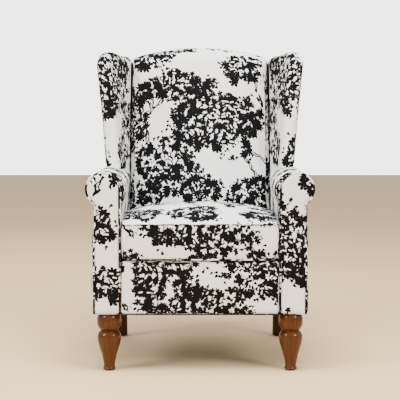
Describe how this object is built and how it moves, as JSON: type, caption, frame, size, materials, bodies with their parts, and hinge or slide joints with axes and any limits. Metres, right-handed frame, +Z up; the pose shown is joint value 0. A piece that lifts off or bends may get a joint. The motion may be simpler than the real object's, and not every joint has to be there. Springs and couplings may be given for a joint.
{
  "type": "upholstered armchair",
  "caption": "Wing armchair with rolled arms, a loose crowned seat cushion, turned front legs and square raked rear legs, covered in black foliage print on off-white.",
  "frame": {"origin": "on the floor, at the middle of the chair's outline seen from above", "axes": "+Z up, the sitter faces -Y, +X is to the right seen from the front"},
  "size_m": [0.7422, 0.7692, 1.079],
  "materials": {
    "printed_fabric": "off-white linen weave printed with black foliage",
    "stained_wood": "gloss brown stain",
    "frame_wood": "raw hardwood and plywood",
    "foam": "foam",
    "wadding": "polyester wadding",
    "black_cambric": "non-woven cambric",
    "webbing": "elastic webbing",
    "glide_plastic": "matte",
    "steel": "zinc plated"
  },
  "bodies": {
    "frame": {"front_leg_left": "stained_wood", "front_glide_left": "glide_plastic", "front_leg_bolt_left": "steel", "front_corner_block_left": "frame_wood", "front_leg_right": "stained_wood", "front_glide_right": "glide_plastic", "front_leg_bolt_right": "steel", "front_corner_block_right": "frame_wood", "rear_leg_left": "stained_wood", "rear_glide_left": "glide_plastic", "rear_leg_bolt_left": "steel", "rear_corner_block_left": "frame_wood", "rear_leg_right": "stained_wood", "rear_glide_right": "glide_plastic", "rear_leg_bolt_right": "steel", "rear_corner_block_right": "frame_wood", "front_seat_rail": "frame_wood", "rear_seat_rail": "frame_wood", "side_seat_rail_left": "frame_wood", "side_seat_rail_right": "frame_wood", "seat_spring_1": "steel", "seat_spring_2": "steel", "seat_spring_3": "steel", "seat_spring_4": "steel", "seat_deck_pad": "wadding", "dust_cover": "black_cambric", "front_apron": "printed_fabric", "arm_front_board_left": "frame_wood", "arm_rail_left": "frame_wood", "arm_pad_left": "foam", "arm_cover_left": "printed_fabric", "outside_arm_panel_left": "printed_fabric", "arm_facing_left": "printed_fabric", "arm_welt_left": "printed_fabric", "wing_cover_left": "printed_fabric", "wing_board_left": "frame_wood", "wing_pad_left": "foam", "back_post_left": "frame_wood", "arm_front_board_right": "frame_wood", "arm_rail_right": "frame_wood", "arm_pad_right": "foam", "arm_cover_right": "printed_fabric", "outside_arm_panel_right": "printed_fabric", "arm_facing_right": "printed_fabric", "arm_welt_right": "printed_fabric", "wing_cover_right": "printed_fabric", "wing_board_right": "frame_wood", "wing_pad_right": "foam", "back_post_right": "frame_wood", "back_tuck_rail": "frame_wood", "back_top_rail": "frame_wood", "back_webbing_1": "webbing", "back_webbing_2": "webbing", "back_pad": "foam", "inside_back_cover": "printed_fabric", "outside_back_panel": "printed_fabric"},
    "seat_cushion": {"seat_cushion_cover": "printed_fabric", "seat_cushion_core": "foam"}
  },
  "joints": [
    {"name": "seat_cushion_lift", "type": "slide", "parent": "frame", "child": "seat_cushion", "axis": [0, 0, 1], "range_m": [0, 0.32]}
  ]
}
